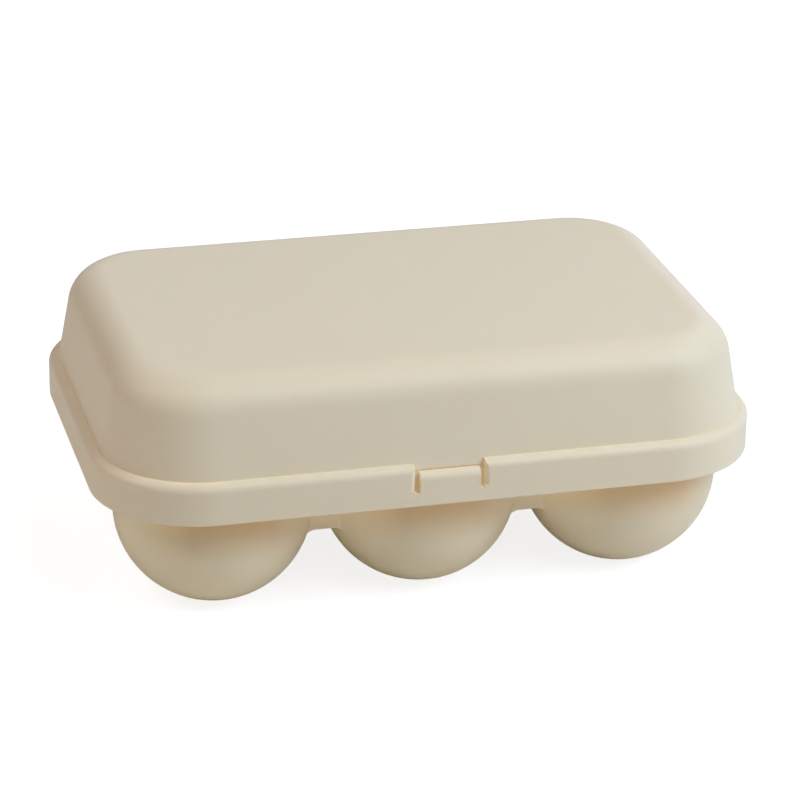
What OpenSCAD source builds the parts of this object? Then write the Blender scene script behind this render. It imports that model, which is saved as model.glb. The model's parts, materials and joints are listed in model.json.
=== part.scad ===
// Egg keeper for six eggs, in cream plastic: a tray of six round-bottomed cups and a
// domed lid that flips up on two pinned hinges along the back. A springy tongue, cut
// into the front of the lid's skirt, snaps past a bead on the tray's rim.
// +X runs along the front towards the right, -Y is the front and +Z is up.
// The modules are drawn about the middle of the six cups. The finished nodes are moved
// so that the origin is the middle of the whole footprint, hinges included, on the plane
// that the cups' feet stand on.

/* [Case] */
// Outside length of the lid's skirt
case_l = 159.6; // [154:0.2:170]
// Outside width of the lid's skirt, front to back
case_w = 108; // [104:0.2:116]
// Radius of the skirt's corners, seen from above
corner_r = 25.9; // [18:0.1:30]
// Gap between the lid's skirt and the tray's rim, at the rim's foot
rim_gap = 0.3; // [0.2:0.05:0.6]
// Gap between the top of the tray's rim and the lid's shoulder
seat_gap = 0.15; // [0.1:0.05:0.5]

/* [Lid] */
// Thickness of the lid's walls
lid_wall = 1.5; // [1.2:0.1:1.7]
// Height of the lid above its lower edge
lid_h = 32; // [28:0.5:40]
// Height of the skirt, up to the shoulder
skirt_h = 9.9; // [9.6:0.1:12]
// How far the dome stands in from the skirt
step_in = 2.5; // [2.3:0.1:3]
// Rounding along the top of the skirt
shoulder_r = 2; // [1.6:0.1:2.2]
// Hollow rounding where the dome rises from the shoulder
cove_r = 0.2; // [0.1:0.1:0.4]
// Rounding along the skirt's lower edge
lip_r = 0.4; // [0.2:0.1:0.6]
// Lean of the dome's walls, in degrees
dome_draft = 10.4; // [4:0.2:14]
// Rounding between the dome's walls and its flat top
dome_r = 9.1; // [5:0.1:12]

/* [Tray] */
// Thickness of the tray's walls
tray_wall = 1.5; // [1.2:0.1:2]
// Height of the tray's deck above the skirt's lower edge
deck_up = 0.4; // [0.2:0.1:1]
// Lean of the rim's outside, in degrees, so that the skirt swings clear
rim_draft = 4; // [3:0.5:6]
// Distance between cups along the front
pitch_x = 50; // [49:0.1:51]
// Distance between the front and the back row of cups
pitch_y = 49.3; // [48.8:0.1:50]
// Outside radius of a cup
cup_r = 23.65; // [22:0.05:24]
// Radius of the flat that a cup stands on
foot_r = 7; // [4:0.5:9]
// Depth of the cups' centres below the skirt's lower edge
cup_drop = 7.1; // [5:0.1:10]
// Rounding of a cup's mouth
mouth_r = 1.2; // [0.6:0.1:1.4]
// Depth of the front and back webs between cups below the skirt's lower edge
web_drop = 13.1; // [11:0.1:14]
// Distance of those webs outwards from the line of the cups' middles
web_out = 8.4; // [7:0.1:9]
// Depth of the middle webs, between the rows, below the skirt's lower edge
mid_web_drop = 17.1; // [14:0.1:18]
// Thickness of the webs
web_t = 1.6; // [1.2:0.1:2]
// Rounding where a web's lower edge meets a cup
web_r = 3.2; // [2:0.1:3.4]

/* [Snap tongue] */
// Width of the tongue
tongue_w = 14.4; // [10:0.2:20]
// Height of the tongue's top above the skirt's lower edge
tongue_h = 8.2; // [8:0.1:9]
// Rounding along the top of the tongue's head
tongue_r = 1.9; // [1:0.1:1.9]
// Gap between the tongue's head and the dome's wall behind it
tongue_gap = 0.2; // [0.1:0.05:0.3]
// Width of the slit at each side of the tongue
slit_w = 1.2; // [0.8:0.1:2]
// Height of the slits' lower ends above the skirt's lower edge
slit_up = 3.3; // [2.8:0.1:4]
// Rounding of the skirt's edges beside the slits
slit_edge_r = 1.2; // [0.3:0.1:1.3]
// Clearance around the tongue's root
root_gap = 0.05; // [0.03:0.01:0.1]
// Height of the nose inside the tongue above the skirt's lower edge
nose_up = 5.4; // [5:0.1:5.6]
// How far the nose stands in from the tongue
nose_in = 0.25; // [0.1:0.05:0.3]
// How far the bead stands out from the tray's rim
bead_out = 0.3; // [0.1:0.05:0.35]
// Distance of the bead's centre above the nose's
bead_rise = 1.5; // [1.2:0.1:1.8]

/* [Hinges] */
// Distance of each hinge's middle from the case's middle
hinge_x = 42; // [30:0.5:44]
// Radius of the hinge knuckles
knuckle_r = 2.5; // [2.2:0.1:3]
// Gap between the knuckles and the back of the skirt
knuckle_gap = 0.15; // [0.1:0.05:0.4]
// Width of the lid's knuckle
lid_knuckle_w = 10; // [6:0.5:14]
// Width of each of the two ears on the tray
ear_w = 4.5; // [3:0.5:6]
// Gap between the lid's knuckle and each ear
ear_gap = 0.25; // [0.15:0.05:0.5]
// Thickness of the ears' arm below the skirt
ear_arm = 3; // [2:0.1:4]
// Radius of a hinge pin
pin_r = 1.2; // [1:0.05:1.4]
// Clearance between a pin and the lid's knuckle, all round
pin_gap = 0.05; // [0.02:0.01:0.08]
// Squeeze between a pin and the ears, all round
pin_squeeze = 0.01; // [0.005:0.005:0.02]
// Bevel on a pin's ends
pin_bevel = 0.3; // [0.1:0.1:0.5]

/* [Hidden] */
$fn = 96;
cream = [0.86, 0.80, 0.68];
pale_cream = [0.90, 0.85, 0.74];
pin_cream = [0.80, 0.73, 0.60];
// Overshoot of a cut past the face it opens
past = 1;
cup_z = sqrt(cup_r * cup_r - foot_r * foot_r);
skirt_z = cup_z + cup_drop;
corner_x = case_l / 2 - corner_r;
corner_y = case_w / 2 - corner_r;
// The skirt's rounding ends just outside the foot of the hollow rounding
shoulder = min(shoulder_r, step_in - cove_r * (1 / cos(dome_draft) - tan(dome_draft)) - 0.1);
// The rim, in the outline's own terms: outwards from a corner's axis, up from the skirt's edge
rim_out = corner_r - lid_wall - rim_gap;
rim_top = skirt_h - lid_wall - seat_gap;
rim_edge_r = tray_wall * 0.4;
deck_top = deck_up + tray_wall;
// Centre of the rounding between the dome's walls and its top
dome_cz = lid_h - dome_r;
dome_cx = corner_r - step_in - (dome_cz - skirt_h) * tan(dome_draft) - dome_r / cos(dome_draft);
window_w = tongue_w + 2 * slit_w;
root_r = lid_wall / 2;
root_up = slit_up + slit_w / 2;
bead_up = nose_up + bead_rise;
bead_r = 0.5;
// How far a cut stays in front of a wall that it follows
skim = 0.02;
// The tongue's head reaches back over the bead, almost to the dome's wall
head_depth = step_in - lid_wall * tan(dome_draft) - tongue_gap;
head_low = bead_up + bead_out;
head_r = min(tongue_r, head_depth - 0.1);
hinge_y = case_w / 2 + knuckle_gap + knuckle_r;
pin_l = lid_knuckle_w + 2 * ear_gap + 2 * ear_w;
// Distance of the footprint's middle behind the cups' middle
middle_y = (hinge_y + knuckle_r - case_w / 2) / 2;

// Half outline of a block with rounded corners: w outwards, from low to high
module soft_outline(w, low, high, r_low, r_high) {
    translate([0, low])
        square([w - r_low, r_low]);
    translate([0, low + r_low])
        square([w, high - low - r_low - r_high]);
    translate([0, high - r_high])
        square([w - r_high, r_high]);
    translate([w - r_low, low + r_low])
        circle(r_low);
    translate([w - r_high, high - r_high])
        circle(r_high);
}

// Half outline of the dome, d in from its outside
module dome_outline(d, low) {
    foot = corner_r - step_in - d / cos(dome_draft) + (skirt_h - low) * tan(dome_draft);
    r = dome_r - d;
    polygon([
        [0, low],
        [foot, low],
        [dome_cx + r * cos(dome_draft), dome_cz + r * sin(dome_draft)],
        [dome_cx, lid_h - d],
        [0, lid_h - d]
    ]);
    translate([dome_cx, dome_cz])
        circle(r);
}

// Hollow rounding between the shoulder and the dome
module cove_outline() {
    x = corner_r - step_in - cove_r * tan(dome_draft) + cove_r / cos(dome_draft);
    z = skirt_h + cove_r;
    wall_x = x - cove_r * cos(dome_draft);
    wall_z = z - cove_r * sin(dome_draft);
    difference() {
        polygon([[wall_x - cove_r, skirt_h - cove_r], [x, skirt_h - cove_r], [x, skirt_h],
            [wall_x, wall_z], [wall_x - cove_r, wall_z]]);
        translate([x, z])
            circle(cove_r);
    }
}

// Section of the lid's wall, outwards from a corner's axis
module lid_section() {
    difference() {
        union() {
            dome_outline(0, skirt_h / 2);
            soft_outline(corner_r, 0, skirt_h, lip_r, shoulder);
            cove_outline();
        }
        dome_outline(lid_wall, -past);
        soft_outline(corner_r - lid_wall, -past, skirt_h - lid_wall, lip_r, lip_r);
    }
}

// Section of the tray's deck and rim
module tray_section() {
    lean = (rim_top - deck_up) * tan(rim_draft);
    difference() {
        polygon([[0, deck_up], [rim_out, deck_up], [rim_out - lean, rim_top], [0, rim_top]]);
        polygon([[0, deck_top], [rim_out - tray_wall - lean / 2, deck_top],
            [rim_out - tray_wall - lean, rim_top + past], [0, rim_top + past]]);
    }
}

// Carries an outline round the case: corners as revolves, sides as straight runs
module round_the_case() {
    for (sx = [0, 1], sy = [0, 1])
        mirror([sx, 0, 0])
            mirror([0, sy, 0])
                translate([corner_x, corner_y, 0])
                    rotate_extrude(angle = 90)
                        children();
    for (sy = [0, 1])
        mirror([0, sy, 0])
            translate([-corner_x, corner_y, 0])
                rotate([90, 0, 90])
                    linear_extrude(2 * corner_x)
                        children();
    for (sx = [0, 1])
        mirror([sx, 0, 0])
            translate([corner_x, corner_y, 0])
                rotate([90, 0, 0])
                    linear_extrude(2 * corner_y)
                        children();
}

// Flat plate between the corners' axes
module middle_plate(low, high) {
    translate([-corner_x, -corner_y, low])
        cube([2 * corner_x, 2 * corner_y, high - low]);
}

// Puts its children at the middle of each hinge's axis
module at_hinges(sides = [-1, 1]) {
    for (side = sides)
        translate([side * hinge_x, hinge_y, skirt_z])
            children();
}

// Round bar along X, centred on the origin
module bar_x(r, l) {
    rotate([0, 90, 0])
        cylinder(r = r, h = l, center = true);
}

module cup_outside() {
    rotate_extrude() {
        intersection() {
            translate([0, cup_z])
                circle(cup_r);
            square([cup_r, cup_z]);
        }
        translate([0, cup_z])
            square([cup_r, cup_drop + deck_up + tray_wall / 2]);
    }
}

module cup_inside() {
    r = cup_r - tray_wall;
    top = skirt_z + deck_top;
    rotate_extrude() {
        intersection() {
            translate([0, cup_z])
                circle(r);
            translate([0, tray_wall])
                square([r, cup_z - tray_wall]);
        }
        translate([0, cup_z])
            square([r, top - cup_z + past]);
        difference() {
            translate([r - past, top - mouth_r])
                square([past + mouth_r, mouth_r + past]);
            translate([r + mouth_r, top - mouth_r])
                circle(mouth_r);
        }
    }
}

// Places its children at every cup
module at_cups() {
    for (ix = [-1, 0, 1], sy = [-1, 1])
        translate([ix * pitch_x, sy * pitch_y / 2, 0])
            children();
}

// Web between two cups that stand a pitch apart, centred between them and along X. It
// stands the distance aside beside the line of the cups' middles.
module web(pitch, aside, depth) {
    low = skirt_z - depth;
    section_r = sqrt(cup_r * cup_r - aside * aside);
    // The rounding bites a little into the cups, so that it ends inside their wall
    reach = section_r + web_r - tray_wall * 0.4;
    drop = cup_z - low + web_r;
    round_x = pitch / 2 - sqrt(reach * reach - drop * drop);
    end_z = cup_z - drop * section_r / reach;
    rotate([90, 0, 0])
        linear_extrude(web_t, center = true)
            difference() {
                translate([-pitch / 4, end_z])
                    square([pitch / 2, skirt_z + deck_up + tray_wall / 2 - end_z]);
                translate([-round_x, low - 2 * web_r])
                    square([2 * round_x, 2 * web_r]);
                for (s = [-1, 1])
                    translate([s * round_x, low - web_r])
                        circle(web_r);
            }
}

module webs() {
    for (sx = [-1, 1], sy = [-1, 1])
        translate([sx * pitch_x / 2, sy * (pitch_y / 2 + web_out), 0])
            web(pitch_x, web_out, web_drop);
    for (ix = [-1, 0, 1])
        translate([ix * pitch_x, 0, 0])
            rotate([0, 0, 90])
                web(pitch_y, 0, mid_web_drop);
}

// Ear on the tray's back, centred on the hinge's axis: an arm under the skirt and a knuckle
module ear() {
    root_y = case_w / 2 - lid_wall - rim_gap - hinge_y;
    bar_x(knuckle_r, ear_w);
    translate([-ear_w / 2, root_y - 2 * tray_wall, -knuckle_gap - ear_arm])
        cube([ear_w, 2 * tray_wall - root_y, ear_arm]);
    translate([-ear_w / 2, root_y - 2 * tray_wall, -knuckle_gap - ear_arm])
        cube([ear_w, 2 * tray_wall - rim_gap, knuckle_gap + ear_arm + deck_up + tray_wall / 2]);
}

module egg_tray() {
    color(cream)
        difference() {
            union() {
                translate([0, 0, skirt_z]) {
                    round_the_case()
                        tray_section();
                    middle_plate(deck_up, deck_top);
                    translate([0, -(case_w / 2 - corner_r + rim_out)
                        + (bead_up - deck_up) * tan(rim_draft) - bead_out + bead_r, bead_up])
                        bar_x(bead_r, window_w);
                }
                at_cups()
                    cup_outside();
                webs();
                at_hinges()
                    for (s = [-1, 1])
                        translate([s * (lid_knuckle_w + 2 * ear_gap + ear_w) / 2, 0, 0])
                            ear();
            }
            at_cups()
                cup_inside();
            at_hinges()
                bar_x(pin_r - pin_squeeze, pin_l + past);
        }
}

// Opening in the front of the skirt that leaves the tongue free. Its back follows the
// dome's wall, just in front of it, so that the wall runs on down to the tongue's top.
module tongue_window() {
    front = -case_w / 2;
    depth = lid_wall + 2 * past;
    foot = case_w / 2 - step_in + skim;
    slope = tan(dome_draft);
    translate([-window_w / 2, 0, 0])
        mirror([0, 1, 0])
            rotate([90, 0, 90])
                linear_extrude(window_w)
                    polygon([
                        [case_w / 2 + past, root_up],
                        [case_w / 2 + past, skirt_h + past],
                        [foot - past * slope, skirt_h + past],
                        [foot + lid_wall * slope, skirt_h - lid_wall],
                        [foot + lid_wall * slope, root_up]
                    ]);
    for (s = [-1, 1])
        translate([s * (tongue_w + slit_w) / 2, front - past, root_up])
            rotate([-90, 0, 0])
                cylinder(r = slit_w / 2, h = depth);
    translate([0, front + root_r, root_up])
        bar_x(root_r + root_gap, tongue_w + slit_w);
    // Rounded upright edges beside the slits
    for (s = [0, 1])
        mirror([s, 0, 0])
            difference() {
                translate([window_w / 2 - past, front - past, root_up])
                    cube([past + slit_edge_r, past + slit_edge_r, skirt_h - root_up + past]);
                translate([window_w / 2 + slit_edge_r, front + slit_edge_r, root_up - past])
                    cylinder(r = slit_edge_r, h = skirt_h - root_up + 3 * past);
            }
}

module lid() {
    color(pale_cream)
        difference() {
            union() {
                translate([0, 0, skirt_z]) {
                    round_the_case()
                        lid_section();
                    middle_plate(lid_h - lid_wall, lid_h);
                }
                at_hinges() {
                    bar_x(knuckle_r, lid_knuckle_w);
                    translate([-lid_knuckle_w / 2, -knuckle_r - knuckle_gap - lid_wall / 2, 0])
                        cube([lid_knuckle_w, knuckle_r + knuckle_gap + lid_wall / 2, knuckle_r]);
                }
            }
            translate([0, 0, skirt_z])
                tongue_window();
            at_hinges()
                bar_x(pin_r + pin_gap, lid_knuckle_w + past);
        }
}

// Tongue in the front of the skirt: a rounded root, a plain face, a nose inside and a head
// with a rounded top
module snap_tongue() {
    face = case_w / 2;
    inside = face - lid_wall;
    back = face - head_depth;
    color(pale_cream)
        translate([-tongue_w / 2, 0, skirt_z])
            mirror([0, 1, 0])
                rotate([90, 0, 90])
                    linear_extrude(tongue_w) {
                        intersection() {
                            polygon([[face, root_up], [face, tongue_h], [back, tongue_h],
                                [back, head_low + head_depth - lid_wall], [inside, head_low],
                                [inside, root_up]]);
                            union() {
                                translate([back, root_up])
                                    square([head_depth, tongue_h - head_r - root_up]);
                                translate([back, root_up])
                                    square([head_depth - head_r, tongue_h - root_up]);
                                translate([face - head_r, tongue_h - head_r])
                                    circle(head_r);
                            }
                        }
                        translate([inside + root_r, root_up])
                            circle(root_r);
                        translate([inside + bead_r - nose_in, nose_up])
                            circle(bead_r);
                    }
}

module hinge_pin() {
    color(pin_cream)
        rotate([0, 90, 0]) {
            cylinder(r = pin_r, h = pin_l - 2 * pin_bevel, center = true);
            for (s = [0, 1])
                mirror([0, 0, s])
                    translate([0, 0, pin_l / 2 - pin_bevel])
                        cylinder(r1 = pin_r, r2 = pin_r - pin_bevel, h = pin_bevel);
        }
}

module hinge_pin_left() {
    at_hinges([-1])
        hinge_pin();
}

module hinge_pin_right() {
    at_hinges([1])
        hinge_pin();
}

translate([0, -middle_y, 0]) {
    egg_tray();
    lid();
    snap_tongue();
    hinge_pin_left();
    hinge_pin_right();
}
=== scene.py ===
# %% [markdown]
# # An egg keeper with a flip lid, in cream plastic
# The real object is two thin mouldings: a tray of six round cups and a domed lid that
# covers the tray's rim with a stepped skirt. The lid turns on two pinned hinges at the
# back, and a springy tongue in the front of the skirt holds it shut.
# This lesson dresses the engineering model of the keeper. The model gives every piece
# its place, so the first step is to load it and to note how large it is.

import json
import math

import bmesh
import bpy
from mathutils import Matrix, Vector

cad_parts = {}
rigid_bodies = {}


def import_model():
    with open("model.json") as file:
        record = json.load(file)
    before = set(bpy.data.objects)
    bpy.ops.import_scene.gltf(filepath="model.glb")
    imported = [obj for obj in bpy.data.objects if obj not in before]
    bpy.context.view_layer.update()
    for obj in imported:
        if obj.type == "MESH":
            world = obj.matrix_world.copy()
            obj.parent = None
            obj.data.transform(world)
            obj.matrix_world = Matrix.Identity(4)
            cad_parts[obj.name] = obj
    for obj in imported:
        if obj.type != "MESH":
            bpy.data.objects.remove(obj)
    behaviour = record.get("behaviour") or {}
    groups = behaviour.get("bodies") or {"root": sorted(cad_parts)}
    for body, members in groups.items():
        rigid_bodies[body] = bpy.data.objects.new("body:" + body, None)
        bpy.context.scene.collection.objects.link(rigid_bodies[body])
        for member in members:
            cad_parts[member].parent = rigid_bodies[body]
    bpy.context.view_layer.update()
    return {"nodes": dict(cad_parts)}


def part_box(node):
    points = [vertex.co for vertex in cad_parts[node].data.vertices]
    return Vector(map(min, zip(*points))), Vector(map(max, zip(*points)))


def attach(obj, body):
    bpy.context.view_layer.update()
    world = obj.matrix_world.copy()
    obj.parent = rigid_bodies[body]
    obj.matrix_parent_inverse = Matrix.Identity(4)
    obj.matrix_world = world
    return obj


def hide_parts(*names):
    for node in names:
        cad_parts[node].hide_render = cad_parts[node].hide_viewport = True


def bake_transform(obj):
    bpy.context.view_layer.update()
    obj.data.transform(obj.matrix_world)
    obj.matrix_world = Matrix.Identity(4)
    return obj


for leftover in list(bpy.data.objects):
    bpy.data.objects.remove(leftover)
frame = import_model()
MM = 0.001
for name in sorted(frame["nodes"]):
    low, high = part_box(name)
    print(name, "measures", [round((b - a) / MM, 1) for a, b in zip(low, high)], "mm")

# %% [markdown]
# ## The camera comes first
# The photograph looks down on the keeper from its front left, through a long lens. The
# camera is described as a photographer would: how far round it stands, how high it
# looks from, how much it is tilted sideways, how far away it is and what it looks at.
# A matrix with its own right, up and backward directions then places it exactly.

# %% Camera
ROUND = math.radians(-14.84)
HEIGHT = math.radians(23.08)
TILT = math.radians(0.87)
DISTANCE = 815.6 * MM
LENS = 150.05
AIM_RIGHT = 1.81 * MM
AIM_HEIGHT = 33.32 * MM
AIM_DEPTH = -2.575 * MM


def place_camera():
    """Makes the camera that sees the keeper as the photograph does."""
    away = math.cos(HEIGHT)
    backward = Vector((math.sin(ROUND) * away, -math.cos(ROUND) * away, math.sin(HEIGHT)))
    level = Vector((math.cos(ROUND), math.sin(ROUND), 0.0))
    upright = backward.cross(level)
    right = level * math.cos(TILT) + upright * math.sin(TILT)
    up = upright * math.cos(TILT) - level * math.sin(TILT)
    aim = level * AIM_RIGHT + Vector((0, AIM_DEPTH, AIM_HEIGHT))
    data = bpy.data.cameras.new("camera")
    data.lens = LENS
    data.sensor_width = 36.0
    data.clip_start = 0.05
    data.clip_end = 20.0
    camera = bpy.data.objects.new("camera", data)
    turn = Matrix((right, up, backward)).transposed().to_4x4()
    camera.matrix_world = Matrix.Translation(aim + backward * DISTANCE) @ turn
    bpy.context.scene.collection.objects.link(camera)
    bpy.context.scene.camera = camera
    return camera


camera = place_camera()
print("camera at", [round(c, 3) for c in camera.matrix_world.translation])

# %% [markdown]
# ## The sizes of the two mouldings
# A moulding is drawn as sections: the outline that a cut through its wall shows. The
# values here are the ones that the engineering model is built from. What the frame
# knows, such as the overall length, is read from it, so that the two can't differ.

# %% Sizes
lid_low, lid_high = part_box("lid")
CASE_L = lid_high.x - lid_low.x
CASE_W = 108 * MM
MIDDLE_Y = lid_low.y + CASE_W / 2
LID_TOP = lid_high.z
LID_H = 32 * MM
SKIRT_Z = LID_TOP - LID_H
CORNER_R = 25.9 * MM
LID_WALL = 1.5 * MM
TRAY_WALL = 1.5 * MM
SKIRT_H = 9.9 * MM
STEP_IN = 2.5 * MM
SHOULDER_R = 2 * MM
COVE_R = 0.2 * MM
LIP_R = 0.4 * MM
DRAFT = math.radians(10.4)
DOME_R = 9.1 * MM
RIM_GAP = 0.3 * MM
SEAT_GAP = 0.15 * MM
DECK_UP = 0.4 * MM
RIM_DRAFT = math.radians(4)
PITCH_X = 50 * MM
PITCH_Y = 49.3 * MM
CUP_R = 23.65 * MM
FOOT_R = 7 * MM
MOUTH_R = 1.2 * MM
WEB_DROP = 13.1 * MM
WEB_OUT = 8.4 * MM
MID_WEB_DROP = 17.1 * MM
WEB_T = 1.6 * MM
WEB_R = 3.2 * MM
WEB_SOFT = 0.3 * MM
CUP_Z = math.sqrt(CUP_R**2 - FOOT_R**2)
DECK_TOP = DECK_UP + TRAY_WALL
RIM_OUT = CORNER_R - LID_WALL - RIM_GAP
RIM_TOP = SKIRT_H - LID_WALL - SEAT_GAP
CORNER_STEPS = 32
ROUND_STEPS = 96
print("skirt's lower edge stands", round(SKIRT_Z / MM, 2), "mm above the shelf")

# %% [markdown]
# ## Outlines from straight runs and arcs
# A point list for each outline would be long and would say nothing. Two small helpers
# keep it readable: one gives the points of an arc, and one puts short guard steps
# beside the corners of a straight run, so that the smooth shading of a rounding stays
# on the rounding and doesn't spread over the flat beside it.

# %% Outline helpers
GUARD = 0.25 * MM


def arc(x, z, radius, start, end, steps):
    """Points on an arc, with its angles in radians."""
    turns = [start + (end - start) * i / steps for i in range(steps + 1)]
    return [(x + radius * math.cos(t), z + radius * math.sin(t)) for t in turns]


def guarded(points, guard=GUARD):
    """The same outline, with a guard point near each end of every long straight run."""
    result = [points[0]]
    for (x0, z0), (x1, z1) in zip(points, points[1:]):
        run = math.hypot(x1 - x0, z1 - z0)
        if run > 4 * guard:
            for share in (guard / run, 1 - guard / run):
                result.append((x0 + (x1 - x0) * share, z0 + (z1 - z0) * share))
        result.append((x1, z1))
    return result


def dome_x(z, inset):
    """How far out the dome's wall stands at a height over the skirt's lower edge."""
    return CORNER_R - STEP_IN - inset / math.cos(DRAFT) - (z - SKIRT_H) * math.tan(DRAFT)


def lid_outline():
    """Section of the lid's wall, from the middle of the top outwards, down and back in."""
    z = LID_H - DOME_R
    x = dome_x(z, DOME_R)
    inner_end = x - 6 * MM
    cove_z = SKIRT_H + COVE_R
    cove_x = dome_x(cove_z, -COVE_R)
    right_angle = math.pi / 2
    points = [(inner_end, LID_H)]
    points += arc(x, z, DOME_R, right_angle, DRAFT, 28)
    points += arc(cove_x, cove_z, COVE_R, math.pi + DRAFT, 3 * right_angle, 8)
    points += arc(CORNER_R - SHOULDER_R, SKIRT_H - SHOULDER_R, SHOULDER_R, right_angle, 0, 14)
    points += arc(CORNER_R - LIP_R, LIP_R, LIP_R, 0, -right_angle, 6)
    points += [(CORNER_R - LID_WALL, 0)]
    inside = CORNER_R - LID_WALL - LIP_R
    ceiling = SKIRT_H - LID_WALL
    points += arc(inside, ceiling - LIP_R, LIP_R, 0, right_angle, 5)
    points += [(dome_x(ceiling, LID_WALL), ceiling)]
    points += arc(x, z, DOME_R - LID_WALL, DRAFT, right_angle, 24)
    points += [(inner_end, LID_H - LID_WALL)]
    return guarded(points)


def rim_outline():
    """Section of the tray's deck and rim, from under the deck outwards, up and back in."""
    lean = (RIM_TOP - DECK_UP) * math.tan(RIM_DRAFT)
    edge = 0.35 * MM
    inner_end = 6 * MM
    right_angle = math.pi / 2
    inside = RIM_OUT - TRAY_WALL - lean
    points = [(inner_end, DECK_UP), (RIM_OUT, DECK_UP)]
    points += arc(RIM_OUT - lean - edge, RIM_TOP - edge, edge, 0, right_angle, 5)
    points += arc(inside + edge, RIM_TOP - edge, edge, right_angle, 2 * right_angle, 5)
    points += [(inside + lean / 2, DECK_TOP), (inner_end, DECK_TOP)]
    return guarded(points)


print("the lid's section has", len(lid_outline()), "points and the rim's", len(rim_outline()))

# %% [markdown]
# ## Running an outline round the case
# Both mouldings keep one section all the way round a rounded rectangle. A sweep makes
# exactly that, and Geometry Nodes can do it with the numbers left open: a rectangle,
# its corners rounded, carries the outline round. The outline is the object's own mesh,
# a chain of edges, so the tree needs only the case's length, width and corner radius.

# %% Node tree for the sweep


def new_tree(name, inputs):
    """A geometry node tree with named inputs, a Geometry input and a Geometry output."""
    tree = bpy.data.node_groups.new(name, "GeometryNodeTree")
    tree.interface.new_socket(name="Geometry", in_out="INPUT", socket_type="NodeSocketGeometry")
    for label, kind in inputs:
        tree.interface.new_socket(name=label, in_out="INPUT", socket_type=kind)
    tree.interface.new_socket(name="Geometry", in_out="OUTPUT", socket_type="NodeSocketGeometry")
    start = tree.nodes.new("NodeGroupInput")
    end = tree.nodes.new("NodeGroupOutput")
    return tree, start, end


def wire(tree, *links):
    """Connects pairs of (node, socket) ends."""
    for (a, out), (b, into) in links:
        tree.links.new(a.outputs[out], b.inputs[into])


def finish_tree(tree, start, end, last):
    """Every tree ends the same way: real geometry with the piece's material."""
    real = tree.nodes.new("GeometryNodeRealizeInstances")
    paint = tree.nodes.new("GeometryNodeSetMaterial")
    wire(
        tree,
        ((last, 0), (real, 0)),
        ((real, 0), (paint, "Geometry")),
        ((start, "Material"), (paint, "Material")),
        ((paint, 0), (end, 0)),
    )


def sweep_tree():
    """Carries the object's own outline round a rounded rectangle."""
    inputs = [
        ("Length", "NodeSocketFloat"),
        ("Width", "NodeSocketFloat"),
        ("Corner radius", "NodeSocketFloat"),
        ("Corner steps", "NodeSocketInt"),
        ("Material", "NodeSocketMaterial"),
    ]
    tree, start, end = new_tree("run_round_the_case", inputs)
    add = tree.nodes.new
    box = add("GeometryNodeCurvePrimitiveQuadrilateral")
    corners = add("GeometryNodeFilletCurve")
    corners.mode = "POLY"
    upright = add("GeometryNodeSetCurveNormal")
    upright.mode = "Z_UP"
    outline = add("GeometryNodeMeshToCurve")
    sweep = add("GeometryNodeCurveToMesh")
    wire(
        tree,
        ((start, "Length"), (box, "Width")),
        ((start, "Width"), (box, "Height")),
        ((box, 0), (corners, "Curve")),
        ((start, "Corner radius"), (corners, "Radius")),
        ((start, "Corner steps"), (corners, "Count")),
        ((corners, 0), (upright, 0)),
        ((start, "Geometry"), (outline, 0)),
        ((upright, 0), (sweep, "Curve")),
        ((outline, 0), (sweep, "Profile Curve")),
    )
    finish_tree(tree, start, end, sweep)
    return tree


SWEEP = sweep_tree()
print("sweep tree has", len(SWEEP.nodes), "nodes")

# %% [markdown]
# ## From a node tree to a closed solid
# Later steps cut and join these shapes, and that only works on closed solids that face
# outwards. So each result becomes a plain mesh, its doubles are merged, the open rings
# that the sweep leaves in the middle are filled, and its normals are worked out again.

# %% Helpers that turn outlines into solids


def link(name, mesh):
    """A new object at the origin with this mesh."""
    made = bpy.data.objects.new(name, mesh)
    bpy.context.scene.collection.objects.link(made)
    return made


def chain(name, points):
    """A mesh of edges along an outline. The sweep turns its Y axis downwards."""
    mesh = bpy.data.meshes.new(name)
    edges = [(i, i + 1) for i in range(len(points) - 1)]
    mesh.from_pydata([(x, -z, 0) for x, z in points], edges, [])
    return link(name, mesh)


def run_tree(made, tree, **values):
    """Runs a node tree on an object and keeps the result as its plain mesh."""
    modifier = made.modifiers.new(tree.name, "NODES")
    modifier.node_group = tree
    sockets = {s.name: s.identifier for s in tree.interface.items_tree if s.in_out == "INPUT"}
    for label, value in values.items():
        modifier[sockets[label.replace("_", " ")]] = value
    bpy.context.view_layer.update()
    graph = bpy.context.evaluated_depsgraph_get()
    result = bpy.data.meshes.new_from_object(made.evaluated_get(graph))
    made.modifiers.remove(modifier)
    old = made.data
    made.data = result
    bpy.data.meshes.remove(old)
    return made


def close(made, merge=0.001 * MM):
    """Merges doubles, fills open rings and turns every face outwards."""
    work = bmesh.new()
    work.from_mesh(made.data)
    bmesh.ops.remove_doubles(work, verts=work.verts, dist=merge)
    rim = [e for e in work.edges if e.is_boundary]
    if rim:
        bmesh.ops.holes_fill(work, edges=rim, sides=0)
    bmesh.ops.recalc_face_normals(work, faces=work.faces)
    if work.calc_volume(signed=True) < 0:
        bmesh.ops.reverse_faces(work, faces=work.faces)
    loose = sum(1 for e in work.edges if not e.is_manifold)
    volume = work.calc_volume()
    work.to_mesh(made.data)
    work.free()
    faces = len(made.data.polygons)
    print(made.name, faces, "faces,", round(volume / MM**3), "mm3,", loose, "open edges")
    return made


def shift_up(made, height):
    """Moves the mesh, and not the object, so that the object stays at the origin."""
    made.data.transform(Matrix.Translation((0, 0, height)))
    return made


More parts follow.
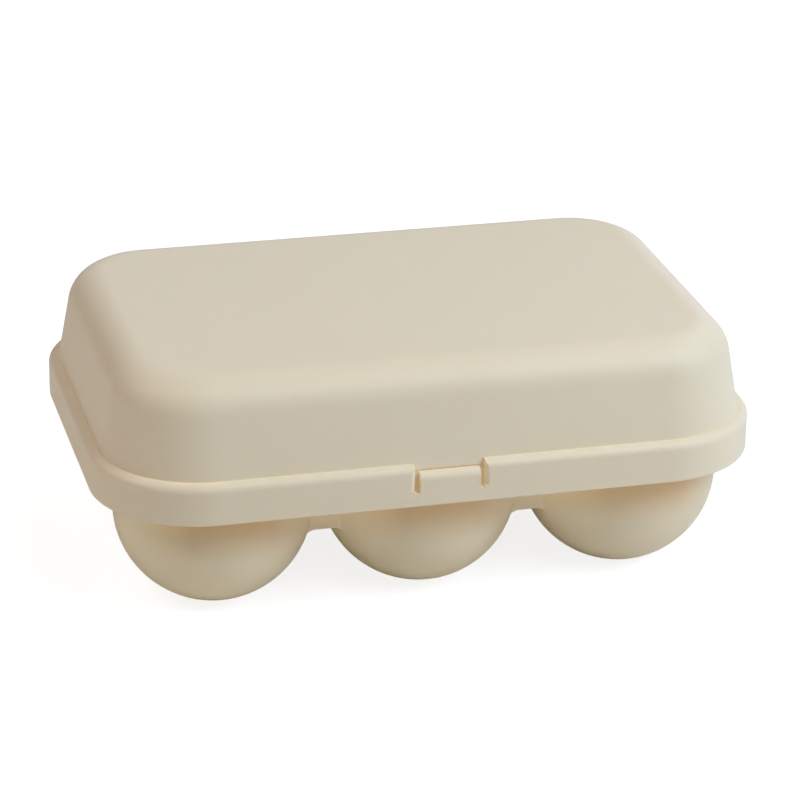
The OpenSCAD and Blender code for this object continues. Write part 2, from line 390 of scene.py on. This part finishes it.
def swept(name, outline, material):
    """A closed solid whose section is this outline, all round the case."""
    points = [(x - CORNER_R, z) for x, z in outline]
    made = chain(name, points)
    run_tree(
        made,
        SWEEP,
        Length=CASE_L,
        Width=CASE_W,
        Corner_radius=CORNER_R,
        Corner_steps=CORNER_STEPS,
        Material=material,
    )
    return close(shift_up(made, SKIRT_Z))


def combine(target, tool, operation):
    """Joins a tool to a solid or cuts it away, and throws the tool away."""
    modifier = target.modifiers.new("combine", "BOOLEAN")
    modifier.object = tool
    modifier.operation = operation
    modifier.solver = "MANIFOLD"
    bpy.context.view_layer.update()
    graph = bpy.context.evaluated_depsgraph_get()
    result = bpy.data.meshes.new_from_object(target.evaluated_get(graph))
    target.modifiers.remove(modifier)
    target.data = result
    print(target.name, operation.lower(), tool.name, "gives", len(result.polygons), "faces")
    bpy.data.objects.remove(tool)
    return target


# %% [markdown]
# ## Cream plastic
# The keeper is moulded in one cream plastic with a fine satin grain. Three layers of
# noise on object coordinates give it life at three scales: a slow drift of colour over
# the whole moulding, a patchy change of gloss, and a grain finer than a hair that the
# light only just catches. A painted glow, an emission of the plastic itself, stands for
# light that comes through thin walls: it grows in deep, narrow gaps, such as the slits
# beside the tongue. The front cups get painted shade, a browner cream just under the
# skirt, and a painted glow that makes their left flanks lighter. A cosine that repeats
# with the cups' pitch says where along the tray each of the two is strongest.
# Both are painted in to match the photograph's one view. The cream is written
# warmer and lighter than it renders here, because the key light is cool.

# %% Plastic material
CREAM = (0.92, 0.755, 0.53)
WARM_CREAM = (0.90, 0.73, 0.50)
TRAY_CREAM = (0.92, 0.745, 0.50)
WARM_TRAY_CREAM = (0.90, 0.72, 0.47)
# Painted shade: the browner cream of the front cups under the skirt, and where it lies.
SHADED_CREAM = (0.84, 0.545, 0.24)
SHADE_DEPTH = 13 * MM
SHADE_SHIFT = 3 * MM
SHADE_WAVE = (-0.9, 0)
# Painted glow: an emission colour, with its strength in narrow gaps and on the cups' flanks.
GLOW = (0.92, 0.90, 0.66)
GAP_GLOW = 0.13
GAP_REACH = 2.5 * MM
CUP_GLOW = 0.12
CUP_GLOW_DEPTH = 20 * MM
CUP_GLOW_SHIFT = 20 * MM
CUP_GLOW_WAVE = (0.2, 1)
DRIFT_SCALE = 28
PATCH_SCALE = 160
GRAIN_SCALE = 2600
GRAIN_DEPTH = 0.03 * MM


def map_range(nodes, low, high, to_low, to_high):
    """A map range node with these four ends."""
    made = nodes.new("ShaderNodeMapRange")
    ends = {"From Min": low, "From Max": high, "To Min": to_low, "To Max": to_high}
    for label, value in ends.items():
        made.inputs[label].default_value = value
    return made


def colour_mix(nodes, a, b):
    """A colour mix node between two colours."""
    made = nodes.new("ShaderNodeMix")
    made.data_type = "RGBA"
    made.inputs["A"].default_value = (*a, 1)
    made.inputs["B"].default_value = (*b, 1)
    return made


def math_node(nodes, operation, a, b):
    """A math node with both of its values set."""
    made = nodes.new("ShaderNodeMath")
    made.operation = operation
    made.inputs[0].default_value = a
    made.inputs[1].default_value = b
    return made


def plastic(name, colour, drift_colour, roughness=0.50, grain=1.0, shaded=None):
    """A satin moulded plastic that varies in colour, gloss and grain."""
    material = bpy.data.materials.new(name)
    material.use_nodes = True
    nodes = material.node_tree.nodes
    link_up = material.node_tree.links.new
    shader = nodes["Principled BSDF"]
    place = nodes.new("ShaderNodeTexCoord")

    def noise(scale, detail):
        made = nodes.new("ShaderNodeTexNoise")
        made.inputs["Scale"].default_value = scale
        made.inputs["Detail"].default_value = detail
        made.inputs["Roughness"].default_value = 0.55
        link_up(place.outputs["Object"], made.inputs["Vector"])
        return made

    def feed(source, node, index=0):
        """Leads a value into a node and gives what the node makes of it."""
        link_up(source, node.inputs[index])
        return node.outputs[0]

    def times(a, b):
        product = math_node(nodes, "MULTIPLY", 0, 0)
        feed(a, product)
        return feed(b, product, 1)

    drift = noise(DRIFT_SCALE, 2)
    tint = colour_mix(nodes, colour, drift_colour)
    link_up(drift.outputs["Fac"], tint.inputs["Factor"])
    last = tint.outputs["Result"]
    cup_glow = None
    if shaded:
        at = nodes.new("ShaderNodeSeparateXYZ")
        feed(place.outputs["Object"], at)
        facing = nodes.new("ShaderNodeSeparateXYZ")
        feed(place.outputs["Normal"], facing)
        row_y = MIDDLE_Y - PITCH_Y / 2
        front = times(
            feed(facing.outputs["Y"], map_range(nodes, -0.25, 0, 1, 0)),
            feed(at.outputs["Y"], map_range(nodes, row_y - 3 * MM, row_y + 3 * MM, 1, 0)),
        )

        def cup_mask(shift, depth, low, high):
            """A mask on the cups' fronts that comes and goes with their pitch."""
            turn = math_node(nodes, "MULTIPLY_ADD", 0, math.tau / PITCH_X)
            turn.inputs[2].default_value = shift * math.tau / PITCH_X
            wave = feed(feed(at.outputs["X"], turn), math_node(nodes, "COSINE", 0, 0))
            swell = feed(wave, map_range(nodes, low, high, 0, 1))
            below = feed(at.outputs["Z"], map_range(nodes, SKIRT_Z - depth, SKIRT_Z - MM, 0, 1))
            under = feed(at.outputs["Z"], map_range(nodes, SKIRT_Z, SKIRT_Z + DECK_UP, 1, 0))
            return times(times(front, swell), times(below, under))

        # Painted shade: the front cups turn a browner cream just under the skirt.
        shade = colour_mix(nodes, colour, shaded)
        link_up(cup_mask(SHADE_SHIFT, SHADE_DEPTH, *SHADE_WAVE), shade.inputs["Factor"])
        link_up(last, shade.inputs["A"])
        last = shade.outputs["Result"]
        # Painted glow: an emission that makes the cups' left flanks lighter under the skirt.
        flanks = cup_mask(CUP_GLOW_SHIFT, CUP_GLOW_DEPTH, *CUP_GLOW_WAVE)
        cup_glow = feed(flanks, math_node(nodes, "MULTIPLY", 0, CUP_GLOW))
    link_up(last, shader.inputs["Base Color"])
    patches = noise(PATCH_SCALE, 3)
    gloss = map_range(nodes, 0.3, 0.7, roughness - 0.05, roughness + 0.05)
    link_up(patches.outputs["Fac"], gloss.inputs["Value"])
    link_up(gloss.outputs["Result"], shader.inputs["Roughness"])
    fine = noise(GRAIN_SCALE, 3)
    bump = nodes.new("ShaderNodeBump")
    bump.inputs["Strength"].default_value = 0.25 * grain
    bump.inputs["Distance"].default_value = GRAIN_DEPTH
    link_up(fine.outputs["Fac"], bump.inputs["Height"])
    link_up(bump.outputs["Normal"], shader.inputs["Normal"])
    # Painted glow: a warm emission that grows where ambient occlusion finds a deep, narrow gap.
    openness = nodes.new("ShaderNodeAmbientOcclusion")
    openness.samples = 4
    openness.inputs["Distance"].default_value = GAP_REACH
    depth = math_node(nodes, "SUBTRACT", 1, 0)
    squared = math_node(nodes, "POWER", 0, 2)
    strength = math_node(nodes, "MULTIPLY", 0, GAP_GLOW)
    link_up(openness.outputs["AO"], depth.inputs[1])
    glow = feed(feed(feed(depth.outputs[0], squared), strength), math_node(nodes, "ADD", 0, 0))
    if cup_glow:
        link_up(cup_glow, glow.node.inputs[1])
    link_up(glow, shader.inputs["Emission Strength"])
    shader.inputs["Emission Color"].default_value = (*GLOW, 1)
    shader.inputs["Subsurface Weight"].default_value = 0.15
    shader.inputs["Subsurface Radius"].default_value = (1.0, 0.65, 0.4)
    shader.inputs["Subsurface Scale"].default_value = 1.2 * MM
    shader.inputs["IOR"].default_value = 1.49
    return material


lid_plastic = plastic("cream_lid", CREAM, WARM_CREAM)
tray_plastic = plastic("cream_tray", TRAY_CREAM, WARM_TRAY_CREAM, shaded=SHADED_CREAM)
pin_plastic = plastic("cream_pin", WARM_CREAM, CREAM, roughness=0.42, grain=0.5)
print("materials:", [m.name for m in (lid_plastic, tray_plastic, pin_plastic)])

# %% [markdown]
# ## The lid
# The lid is the swept section with its flat top filled in.

# %% Sweep the lid
lid = swept("lid_shell", lid_outline(), lid_plastic)

# %% [markdown]
# ## Placing repeated pieces
# Cups, webs and hinge knuckles repeat. One node tree copies a piece onto the points of
# a small mesh, and turns a chain of edges into a round body first where it is asked to.

# %% Node trees for round and repeated pieces


def turning_tree():
    """Turns the object's own outline about the Z axis and puts a copy at each grid point."""
    inputs = [
        ("Turning steps", "NodeSocketInt"),
        ("Reach", "NodeSocketFloat"),
        ("Pitch along", "NodeSocketFloat"),
        ("Pitch across", "NodeSocketFloat"),
        ("Columns", "NodeSocketInt"),
        ("Rows", "NodeSocketInt"),
        ("Material", "NodeSocketMaterial"),
    ]
    tree, start, end = new_tree("turned_in_rows", inputs)
    add = tree.nodes.new
    circle = add("GeometryNodeCurvePrimitiveCircle")
    upright = add("GeometryNodeSetCurveNormal")
    upright.mode = "Z_UP"
    outline = add("GeometryNodeMeshToCurve")
    turned = add("GeometryNodeCurveToMesh")
    grid = add("GeometryNodeMeshGrid")
    copies = add("GeometryNodeInstanceOnPoints")
    length, width = [add("ShaderNodeMath") for _ in range(2)]
    gaps_along, gaps_across = [add("ShaderNodeMath") for _ in range(2)]
    for gaps in (gaps_along, gaps_across):
        gaps.operation = "SUBTRACT"
        gaps.inputs[1].default_value = 1
    length.operation = "MULTIPLY"
    width.operation = "MULTIPLY"
    wire(
        tree,
        ((start, "Turning steps"), (circle, "Resolution")),
        ((start, "Reach"), (circle, "Radius")),
        ((circle, 0), (upright, 0)),
        ((start, "Geometry"), (outline, 0)),
        ((upright, 0), (turned, "Curve")),
        ((outline, 0), (turned, "Profile Curve")),
        ((start, "Columns"), (gaps_along, 0)),
        ((start, "Rows"), (gaps_across, 0)),
        ((gaps_along, 0), (length, 0)),
        ((start, "Pitch along"), (length, 1)),
        ((gaps_across, 0), (width, 0)),
        ((start, "Pitch across"), (width, 1)),
        ((length, 0), (grid, "Size X")),
        ((width, 0), (grid, "Size Y")),
        ((start, "Columns"), (grid, "Vertices X")),
        ((start, "Rows"), (grid, "Vertices Y")),
        ((grid, 0), (copies, "Points")),
        ((turned, 0), (copies, "Instance")),
    )
    finish_tree(tree, start, end, copies)
    return tree


def copies_tree():
    """Puts a piece on every point of the object's own mesh."""
    inputs = [
        ("Piece", "NodeSocketObject"),
        ("Material", "NodeSocketMaterial"),
    ]
    tree, start, end = new_tree("copies_on_points", inputs)
    piece = tree.nodes.new("GeometryNodeObjectInfo")
    copies = tree.nodes.new("GeometryNodeInstanceOnPoints")
    wire(
        tree,
        ((start, "Piece"), (piece, "Object")),
        ((start, "Geometry"), (copies, "Points")),
        ((piece, "Geometry"), (copies, "Instance")),
    )
    finish_tree(tree, start, end, copies)
    return tree


TURNED = turning_tree()
COPIES = copies_tree()


def turned_cups(name, outline, material):
    """Six closed round bodies, one at each cup, from an outline given from the axis out."""
    reach = 30 * MM
    made = chain(name, [(x - reach, z) for x, z in outline])
    run_tree(
        made,
        TURNED,
        Turning_steps=ROUND_STEPS,
        Reach=reach,
        Pitch_along=PITCH_X,
        Pitch_across=PITCH_Y,
        Columns=3,
        Rows=2,
        Material=material,
    )
    return close(made)


def copies(name, piece, points, material):
    """A copy of a piece at every point, as one mesh."""
    mesh = bpy.data.meshes.new(name)
    mesh.from_pydata(points, [], [])
    made = link(name, mesh)
    run_tree(made, COPIES, Piece=piece, Material=material)
    bpy.data.objects.remove(piece)
    return close(made)


def extruded(name, points, depth, axis, soften=0.0):
    """A closed prism: a flat outline pushed both ways along an axis to a full depth."""
    place = {
        "X": lambda s, a, b: (s, a, b),
        "Y": lambda s, a, b: (a, s, b),
        "Z": lambda s, a, b: (a, b, s),
    }[axis]
    count = len(points)
    corners = [place(s, a, b) for s in (-depth / 2, depth / 2) for a, b in points]
    near = tuple(range(count))
    far = tuple(range(count, 2 * count))
    sides = [(i, (i + 1) % count, count + (i + 1) % count, count + i) for i in range(count)]
    mesh = bpy.data.meshes.new(name)
    mesh.from_pydata(corners, [], [near, far, *sides])
    made = link(name, mesh)
    if soften:
        work = bmesh.new()
        work.from_mesh(mesh)
        work.faces.ensure_lookup_table()
        rims = list({e for f in work.faces[:2] for e in f.edges})
        bmesh.ops.recalc_face_normals(work, faces=work.faces)
        bmesh.ops.bevel(work, geom=rims, offset=soften, segments=3, affect="EDGES", profile=0.5)
        work.to_mesh(mesh)
        work.free()
    return close(made)


# %% [markdown]
# ## The tray
# The tray starts as its deck and rim, swept like the lid. Six cups, turned as if on a
# lathe, are joined to it, then the webs between them, and last the insides of the cups
# are cut out with their rounded mouths.

# %% Outlines of the cups


def cup_outside():
    """From the foot's middle, round the bowl and up to the deck."""
    top = SKIRT_Z + DECK_UP + TRAY_WALL / 2
    foot = math.asin(FOOT_R / CUP_R) - math.pi / 2
    points = [(0, 0)]
    points += arc(0, CUP_Z, CUP_R, foot, 0, 40)
    points += [(CUP_R, top), (0, top)]
    return points


def cup_inside():
    """From the bowl's flat up its wall, out over the rounded mouth and back to the axis."""
    inside = CUP_R - TRAY_WALL
    top = SKIRT_Z + DECK_TOP
    flat = -math.asin((CUP_Z - TRAY_WALL) / inside)
    points = [(0, TRAY_WALL)]
    points += arc(0, CUP_Z, inside, flat, 0, 40)
    points += arc(inside + MOUTH_R, top - MOUTH_R, MOUTH_R, math.pi, math.pi / 2, 8)
    points += [(inside + MOUTH_R, top + 1 * MM), (0, top + 1 * MM)]
    return points


def web_outline(pitch, aside, depth):
    """A web between two cups, which runs into both of them in a rounding.

    It stands the distance aside beside the line of the cups' middles, so it meets them
    where their section is a smaller circle.
    """
    low = SKIRT_Z - depth
    high = SKIRT_Z + DECK_UP + TRAY_WALL / 2
    section_r = math.sqrt(CUP_R**2 - aside**2)
    reach = section_r + WEB_R - TRAY_WALL * 0.4
    drop = CUP_Z - low + WEB_R
    round_x = pitch / 2 - math.sqrt(reach**2 - drop**2)
    end_z = CUP_Z - drop * section_r / reach
    turn = math.asin((end_z - low + WEB_R) / WEB_R)
    right = arc(round_x, low - WEB_R, WEB_R, math.pi / 2, turn, 10)
    right += [(pitch / 4, end_z), (pitch / 4, high)]
    left = [(-x, z) for x, z in reversed(right)]
    return right + left


along_outline = web_outline(PITCH_X, WEB_OUT, WEB_DROP)
across_outline = web_outline(PITCH_Y, 0, MID_WEB_DROP)
print("the cup's outline has", len(cup_outside()), "points and a web's", len(along_outline))

# %% Assemble the tray
tray = swept("tray_shell", rim_outline(), tray_plastic)
combine(tray, turned_cups("cups_outside", cup_outside(), tray_plastic), "UNION")
columns = [x * PITCH_X for x in (-1, 0, 1)]
web_row_y = PITCH_Y / 2 + WEB_OUT
along = extruded("web_along", along_outline, WEB_T, "Y", soften=WEB_SOFT)
beside = [(x * PITCH_X / 2, y * web_row_y, 0) for x in (-1, 1) for y in (-1, 1)]
combine(tray, copies("webs_along", along, beside, tray_plastic), "UNION")
across = extruded("web_across", across_outline, WEB_T, "X", soften=WEB_SOFT)
combine(tray, copies("webs_across", across, [(x, 0, 0) for x in columns], tray_plastic), "UNION")
combine(tray, turned_cups("cups_inside", cup_inside(), tray_plastic), "DIFFERENCE")

# %% [markdown]
# ## Two hinges at the back
# Each hinge is a knuckle on the lid between two ears on the tray, with a pin through
# all three. The ears reach back under the skirt, so that the skirt can swing past them.

# %% Hinges
HINGE_X = 42 * MM
KNUCKLE_R = 2.5 * MM
KNUCKLE_GAP = 0.15 * MM
LID_KNUCKLE_W = 10 * MM
KNUCKLE_SOFT = 0.2 * MM
EAR_W = 4.5 * MM
EAR_GAP = 0.25 * MM
EAR_ARM = 3 * MM
PIN_R = 1.2 * MM
PIN_GAP = 0.05 * MM
HINGE_Y = CASE_W / 2 + KNUCKLE_GAP + KNUCKLE_R


def disc(radius, steps=40):
    """A full circle of points about the origin."""
    return arc(0, 0, radius, 0, 2 * math.pi, steps)[:-1]


def block(low_x, low_z, high_x, high_z):
    """A rectangle's four corners."""
    return [(low_x, low_z), (high_x, low_z), (high_x, high_z), (low_x, high_z)]


ear_offset = (LID_KNUCKLE_W + EAR_W) / 2 + EAR_GAP
ears_at = [(s * HINGE_X + t * ear_offset, HINGE_Y, SKIRT_Z) for s in (-1, 1) for t in (-1, 1)]
hinges_at = [(s * HINGE_X, HINGE_Y, SKIRT_Z) for s in (-1, 1)]
root_y = -KNUCKLE_GAP - KNUCKLE_R - LID_WALL - RIM_GAP - 2 * TRAY_WALL
arm_low = -KNUCKLE_GAP - EAR_ARM
rise_high = DECK_UP + TRAY_WALL / 2
ear_parts = {
    "ear_knuckle": disc(KNUCKLE_R),
    "ear_arm": block(root_y, arm_low, 0, -KNUCKLE_GAP),
    "ear_rise": block(root_y, arm_low, root_y + 2 * TRAY_WALL - RIM_GAP, rise_high),
}
for part, outline in ear_parts.items():
    piece = extruded(part, outline, EAR_W, "X")
    combine(tray, copies(part + "s", piece, ears_at, tray_plastic), "UNION")
pin_bore = extruded("pin_bore", disc(PIN_R, 32), 30 * MM, "X")
combine(tray, copies("ear_bores", pin_bore, hinges_at, tray_plastic), "DIFFERENCE")
knuckle = extruded("lid_knuckle", disc(KNUCKLE_R), LID_KNUCKLE_W, "X", soften=KNUCKLE_SOFT)
combine(lid, copies("lid_knuckles", knuckle, hinges_at, lid_plastic), "UNION")
web_y = -KNUCKLE_R - KNUCKLE_GAP - LID_WALL / 2
bridge = extruded("knuckle_bridge", block(web_y, 0, 0, KNUCKLE_R), LID_KNUCKLE_W, "X")
combine(lid, copies("knuckle_bridges", bridge, hinges_at, lid_plastic), "UNION")
pin_bore = extruded("pin_bore", disc(PIN_R + PIN_GAP, 32), LID_KNUCKLE_W + 1 * MM, "X")
combine(lid, copies("lid_bores", pin_bore, hinges_at, lid_plastic), "DIFFERENCE")

# %% [markdown]
# ## The snap tongue
# Two slits free a tongue in the front of the skirt, and above it the window stays open,
# with the dome's wall as its back. One cutter has the window's section from the side, and
# a second one rounds its upright edges off. The tongue itself then stands in the window.

# %% Window and tongue
TONGUE_W = 14.4 * MM
TONGUE_H = 8.2 * MM
TONGUE_R = 1.9 * MM
TONGUE_GAP = 0.2 * MM
SLIT_W = 1.2 * MM
ROOT_UP = 3.9 * MM
SLIT_EDGE_R = 1.2 * MM
NOSE_UP = 5.4 * MM
NOSE_IN = 0.25 * MM
BEAD_OUT = 0.3 * MM
BEAD_RISE = 1.5 * MM
BEAD_R = 0.5 * MM
FRONT = -CASE_W / 2
WINDOW_W = TONGUE_W + 2 * SLIT_W
PAST = 1 * MM
SKIM = 0.02 * MM


def window_section():
    """The window from the side. Its back runs down just in front of the dome's wall."""
    foot = FRONT + STEP_IN - SKIM
    lean = math.tan(DRAFT)
    ceiling_y = foot - LID_WALL * lean
    return [
        (FRONT - PAST, ROOT_UP),
        (FRONT - PAST, SKIRT_H + PAST),
        (foot + PAST * lean, SKIRT_H + PAST),
        (ceiling_y, SKIRT_H - LID_WALL),
        (ceiling_y, ROOT_UP),
    ]


def flare_plan():
    """The window's mouth from above: its upright edges are rounded off sideways."""
    edge_x = WINDOW_W / 2 + SLIT_EDGE_R
    right = [(edge_x, FRONT - PAST)]
    right += arc(edge_x, FRONT + SLIT_EDGE_R, SLIT_EDGE_R, -math.pi / 2, -math.pi, 10)
    left = [(-x, y) for x, y in reversed(right)]
    return right + left


opening = extruded("window", window_section(), WINDOW_W, "X")
combine(lid, shift_up(opening, SKIRT_Z), "DIFFERENCE")
flare = extruded("window_flare", flare_plan(), SKIRT_H + PAST - ROOT_UP, "Z")
combine(lid, shift_up(flare, SKIRT_Z + (SKIRT_H + PAST + ROOT_UP) / 2), "DIFFERENCE")
slit_end = extruded("slit_end", disc(SLIT_W / 2, 32), 6 * MM, "Y")
slit_x = (TONGUE_W + SLIT_W) / 2
slits_at = [(s * slit_x, FRONT, SKIRT_Z + ROOT_UP) for s in (-1, 1)]
combine(lid, copies("slit_ends", slit_end, slits_at, lid_plastic), "DIFFERENCE")


def tongue_outline():
    """Section of the tongue, from the front of its root up, over its head and back down."""
    inside = FRONT + LID_WALL
    rise = TONGUE_H - TONGUE_R - ROOT_UP
    points = [(FRONT, ROOT_UP + rise * i / 8) for i in range(8)]
    points += arc(FRONT + TONGUE_R, TONGUE_H - TONGUE_R, TONGUE_R, math.pi, math.pi / 2, 14)
    head_y = FRONT + STEP_IN - LID_WALL * math.tan(DRAFT) - TONGUE_GAP
    head_low = NOSE_UP + BEAD_RISE + BEAD_OUT
    points += [(head_y, TONGUE_H), (head_y, head_low + head_y - inside), (inside, head_low)]
    nose_y = inside - BEAD_R + NOSE_IN
    reach = math.acos((BEAD_R - NOSE_IN) / BEAD_R)
    points += arc(nose_y, NOSE_UP, BEAD_R, reach, -reach, 12)
    points += [(inside, ROOT_UP + 0.7 * MM), (inside, ROOT_UP)]
    return points


tongue = extruded("snap_tongue_piece", tongue_outline(), TONGUE_W, "X")
shift_up(tongue, SKIRT_Z)
tongue.data.materials.append(lid_plastic)
bead = extruded("bead", disc(BEAD_R), WINDOW_W, "X")
lean = (NOSE_UP + BEAD_RISE - DECK_UP) * math.tan(RIM_DRAFT)
bead_y = -(CASE_W / 2 - CORNER_R + RIM_OUT) + lean - BEAD_OUT + BEAD_R
bead_z = SKIRT_Z + NOSE_UP + BEAD_RISE
combine(tray, copies("rim_bead", bead, [(0, bead_y, bead_z)], tray_plastic), "UNION")

# %% [markdown]
# ## Smooth faces, crisp edges
# The tray, the lid and the tongue are shaded smooth, with a sharp edge wherever two faces
# meet at a clear angle, and weighted normals keep the large flats flat beside their
# roundings. Then each of them is moved from the cups' middle to the frame's origin. The
# tray and the lid are tied to the bodies that carry them, and the tongue is not.

# %% Finish the pieces


def dress(made, name, body, node, crease=28):
    """Shading, place in the row frame, and the ties to the engineering model."""
    made.name = name
    work = bmesh.new()
    work.from_mesh(made.data)
    bmesh.ops.remove_doubles(work, verts=work.verts, dist=0.0008 * MM)
    bmesh.ops.dissolve_degenerate(work, edges=work.edges, dist=0.0008 * MM)
    for face in work.faces:
        face.smooth = True
    for edge in work.edges:
        edge.smooth = edge.calc_face_angle(math.pi) < math.radians(crease)
    work.to_mesh(made.data)
    work.free()
    made.data.transform(Matrix.Translation((0, MIDDLE_Y, 0)))
    weighted = made.modifiers.new("weighted_normals", "WEIGHTED_NORMAL")
    weighted.keep_sharp = True
    weighted.weight = 80
    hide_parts(node)
    if body:
        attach(made, body)
    print(name, "has", len(made.data.polygons), "faces")
    return made


dress(tray, "egg_tray_moulding", "tray", "egg_tray")
dress(lid, "lid_moulding", "lid", "lid")
dress(tongue, "tongue_moulding", None, "snap_tongue")
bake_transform(tongue)
for side in ("left", "right"):
    pin = frame["nodes"]["hinge_pin_" + side]
    pin.data.materials.clear()
    pin.data.materials.append(pin_plastic)

# %% [markdown]
# ## Light for a product on white
# The photograph is a cut-out on pure white, lit softly from the upper right. The
# camera sees a white world and a floor so bright that only the keeper's soft shadow
# shows on it. The keeper itself is lit by large soft boxes: a cool key light, a fill
# from the left, lights behind it for the edges, and four below it. The floor casts no
# shadow, so it lets them through. Most powers and tints below come from a least squares
# fit to the photograph's colours. They match that one picture and are stronger in colour
# than a plain studio's, so another object is better lit with white soft boxes.

# %% World, lights and floor
SKY = 0.02
FLOOR_SIZE = 0.6
FLOOR_WHITE = 0.84
FLOOR_SHADE = 0.38


def white_world(strength):
    """White to the camera, and a dome of this strength to everything else."""
    world = bpy.data.worlds.new("white_studio")
    bpy.context.scene.world = world
    world.use_nodes = True
    nodes = world.node_tree.nodes
    links = world.node_tree.links
    dome = nodes["Background"]
    dome.inputs["Color"].default_value = (1.0, 0.985, 0.96, 1)
    dome.inputs["Strength"].default_value = strength
    seen = nodes.new("ShaderNodeBackground")
    seen.inputs["Color"].default_value = (1, 1, 1, 1)
    path = nodes.new("ShaderNodeLightPath")
    choose = nodes.new("ShaderNodeMixShader")
    links.new(path.outputs["Is Camera Ray"], choose.inputs["Fac"])
    links.new(dome.outputs[0], choose.inputs[1])
    links.new(seen.outputs[0], choose.inputs[2])
    links.new(choose.outputs[0], nodes["World Output"].inputs["Surface"])


def softbox(name, azimuth, elevation, distance, size, power, colour):
    """A square area light that faces the keeper. Azimuth 0 is in front, 90 to the right."""
    turn = math.radians(azimuth)
    lift = math.radians(elevation)
    flat = math.cos(lift)
    away = Vector((math.sin(turn) * flat, -math.cos(turn) * flat, math.sin(lift)))
    data = bpy.data.lights.new(name, "AREA")
    data.size = size
    data.energy = power
    data.color = colour
    light = bpy.data.objects.new(name, data)
    light.location = away * distance + Vector((0, 0, 0.035))
    light.rotation_euler = away.to_track_quat("Z", "Y").to_euler()
    bpy.context.scene.collection.objects.link(light)
    return light


def add_floor():
    """White paper that shows the camera no more of itself than the keeper's soft shadow."""
    mesh = bpy.data.meshes.new("floor")
    signs = ((-1, -1), (1, -1), (1, 1), (-1, 1))
    corners = [(x * FLOOR_SIZE, y * FLOOR_SIZE, 0) for x, y in signs]
    mesh.from_pydata(corners, [], [(0, 1, 2, 3)])
    floor = link("floor", mesh)
    paper = bpy.data.materials.new("white_paper")
    paper.use_nodes = True
    nodes = paper.node_tree.nodes
    links = paper.node_tree.links
    lit = nodes["Principled BSDF"]
    lit.inputs["Base Color"].default_value = (0.8, 0.8, 0.8, 1)
    lit.inputs["Roughness"].default_value = 0.9
    shadowed = nodes.new("ShaderNodeBsdfDiffuse")
    shadowed.inputs["Color"].default_value = (FLOOR_SHADE, FLOOR_SHADE, FLOOR_SHADE, 1)
    bright = nodes.new("ShaderNodeEmission")
    bright.inputs["Strength"].default_value = FLOOR_WHITE
    seen = nodes.new("ShaderNodeAddShader")
    path = nodes.new("ShaderNodeLightPath")
    choose = nodes.new("ShaderNodeMixShader")
    links.new(shadowed.outputs[0], seen.inputs[0])
    links.new(bright.outputs[0], seen.inputs[1])
    links.new(path.outputs["Is Camera Ray"], choose.inputs["Fac"])
    links.new(lit.outputs[0], choose.inputs[1])
    links.new(seen.outputs[0], choose.inputs[2])
    links.new(choose.outputs[0], nodes["Material Output"].inputs["Surface"])
    mesh.materials.append(paper)
    floor.visible_shadow = False
    return floor


# Name: azimuth and elevation in degrees, distance, size, power and colour. The fit gave
# most of the powers and colours. The two glints are strongly red.
LIGHTS = {
    "key": (45, 50, 1.5, 1.0, 13.9, (0.784, 0.909, 1.0)),
    "left_fill": (-90, 50, 1.5, 1.0, 8.25, (1.0, 0.922, 0.93)),
    "left_front": (-45, 50, 1.5, 1.0, 0.2, (0.3, 1.0, 0.8)),
    "right_card_high": (60, 35, 0.55, 0.4, 0.86, (0.32, 0.627, 1.0)),
    "right_card_low": (60, 10, 0.55, 0.4, 0.32, (1.0, 0.785, 0.766)),
    "back_right": (135, 15, 1.5, 1.0, 3.92, (0.79, 0.76, 1.0)),
    "back_high": (135, 50, 1.5, 1.0, 2.38, (0.89, 0.832, 1.0)),
    "back": (180, 15, 1.5, 1.0, 1.74, (0.38, 0.724, 1.0)),
    "bounce_left": (-75, -45, 1.5, 1.0, 2.18, (1.0, 0.89, 0.2)),
    "bounce_right": (75, -45, 1.5, 1.0, 0.94, (1.0, 0.83, 0.43)),
    "glint_left": (-25, -12, 1.5, 1.0, 0.44, (1.0, 0.1, 0.05)),
    "glint_right": (25, -12, 1.5, 1.0, 0.34, (1.0, 0.1, 0.05)),
}
white_world(SKY)
for light_name, settings in LIGHTS.items():
    softbox(light_name, *settings)
add_floor()
scene = bpy.context.scene
scene.view_settings.view_transform = "Standard"
